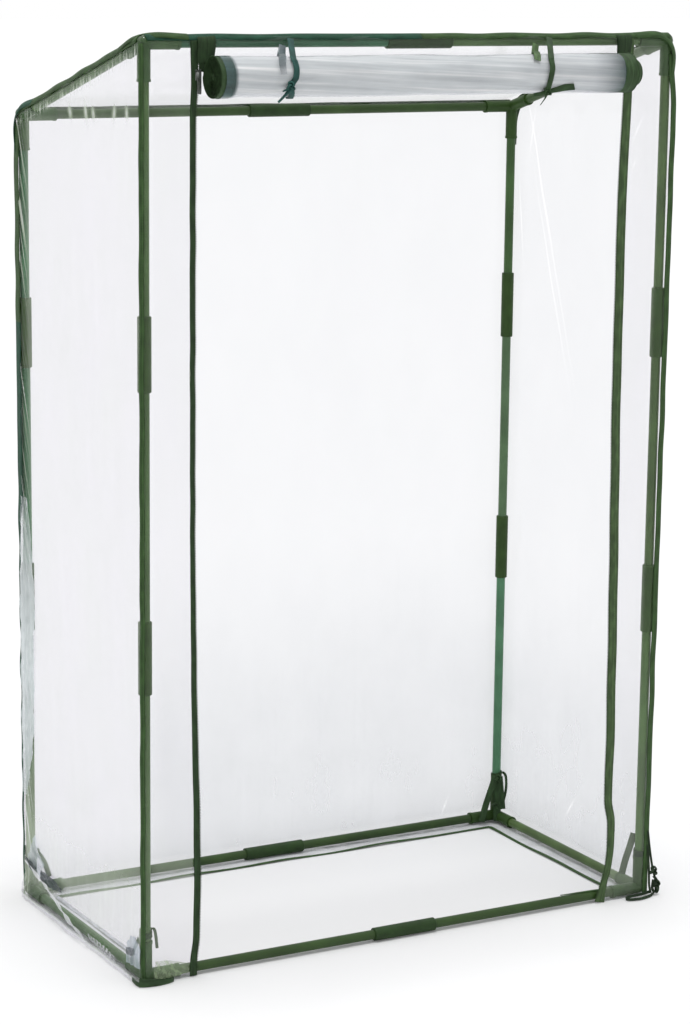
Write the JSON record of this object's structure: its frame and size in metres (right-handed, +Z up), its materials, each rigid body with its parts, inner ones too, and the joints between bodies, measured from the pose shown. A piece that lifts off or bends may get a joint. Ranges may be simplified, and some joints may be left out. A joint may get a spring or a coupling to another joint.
{
  "type": "tomato greenhouse",
  "caption": "Tomato greenhouse: green tube frame with corner connectors under a clear film cover, with a roof that falls to the back and a zipped film door that rolls up.",
  "frame": {"origin": "on the ground, at the middle of the whole object's footprint, which takes in the rolled door in front", "axes": "+Z up, -Y out of the doorway, +X to the right of someone who faces the doorway"},
  "size_m": [0.99, 0.5728, 1.5076],
  "materials": {
    "coated_tube": "semi-gloss powder coat",
    "connector_plastic": "moulded, slightly matt",
    "clear_film": "clear, glossy, lightly creased",
    "seam_tape": "woven binding tape",
    "ribbon": "woven ribbon",
    "zip_metal": "enamelled"
  },
  "bodies": {
    "frame_and_cover": {"back_bottom_bar_left": "coated_tube", "back_bottom_bar_right": "coated_tube", "back_left_bottom_connector": "connector_plastic", "back_left_post_lower": "coated_tube", "back_left_post_middle": "coated_tube", "back_left_post_upper": "coated_tube", "back_left_top_connector": "connector_plastic", "back_panel": "clear_film", "back_right_bottom_connector": "connector_plastic", "back_right_post_lower": "coated_tube", "back_right_post_middle": "coated_tube", "back_right_post_upper": "coated_tube", "back_right_top_connector": "connector_plastic", "back_top_bar_left": "coated_tube", "back_top_bar_right": "coated_tube", "bar_couplers": "connector_plastic", "corner_bindings": "seam_tape", "corner_ties": "ribbon", "door_header_binding": "seam_tape", "front_bottom_bar_left": "coated_tube", "front_bottom_bar_right": "coated_tube", "front_left_bottom_connector": "connector_plastic", "front_left_panel": "clear_film", "front_left_post_lower": "coated_tube", "front_left_post_middle": "coated_tube", "front_left_post_upper": "coated_tube", "front_left_top_connector": "connector_plastic", "front_right_bottom_connector": "connector_plastic", "front_right_panel": "clear_film", "front_right_post_lower": "coated_tube", "front_right_post_middle": "coated_tube", "front_right_post_upper": "coated_tube", "front_right_top_connector": "connector_plastic", "front_top_bar_left": "coated_tube", "front_top_bar_right": "coated_tube", "ground_skirt": "clear_film", "left_bottom_side_tube": "coated_tube", "left_door_tie": "ribbon", "left_panel": "clear_film", "left_roof_side_tube": "coated_tube", "left_zip_tape": "seam_tape", "post_couplers": "connector_plastic", "right_bottom_side_tube": "coated_tube", "right_door_tie": "ribbon", "right_panel": "clear_film", "right_roof_side_tube": "coated_tube", "right_zip_tape": "seam_tape", "roof_bindings": "seam_tape", "roof_panel": "clear_film", "skirt_bindings": "seam_tape"},
    "door_curtain": {"door_curtain": "clear_film"},
    "door_roll": {"door_roll": "clear_film", "left_roll_end": "seam_tape", "right_roll_end": "seam_tape"},
    "left_zip_slider": {"left_zip_slider": "zip_metal"},
    "right_zip_slider": {"right_zip_slider": "zip_metal"},
    "left_zip_pull": {"left_zip_pull": "zip_metal"},
    "right_zip_pull": {"right_zip_pull": "zip_metal"}
  },
  "joints": [
    {"name": "door_unroll", "type": "slide", "parent": "frame_and_cover", "child": "door_curtain", "axis": [0, 0, -1], "range_m": [0, 1.395], "deforming": ["door_curtain", "left_door_tie", "right_door_tie"]},
    {"name": "door_roll_spin", "type": "hinge", "parent": "door_curtain", "child": "door_roll", "pos_m": [0, -0.25244, 1.4375], "axis": [1, 0, 0], "range_deg": [0, 2520]},
    {"name": "left_zip", "type": "slide", "parent": "frame_and_cover", "child": "left_zip_slider", "axis": [0, 0, -1], "range_m": [0, 1.41]},
    {"name": "left_zip_pull_swing", "type": "hinge", "parent": "left_zip_slider", "child": "left_zip_pull", "pos_m": [-0.3937, -0.22384, 1.4395], "axis": [-1, 0, 0], "range_deg": [0, 165]},
    {"name": "right_zip", "type": "slide", "parent": "frame_and_cover", "child": "right_zip_slider", "axis": [0, 0, -1], "range_m": [0, 1.41]},
    {"name": "right_zip_pull_swing", "type": "hinge", "parent": "right_zip_slider", "child": "right_zip_pull", "pos_m": [0.3937, -0.22384, 1.4395], "axis": [-1, 0, 0], "range_deg": [0, 165]}
  ],
  "couplings": [
    {"joint": "door_roll_spin", "follows": "door_unroll", "rad_per_m": 31.528}
  ]
}
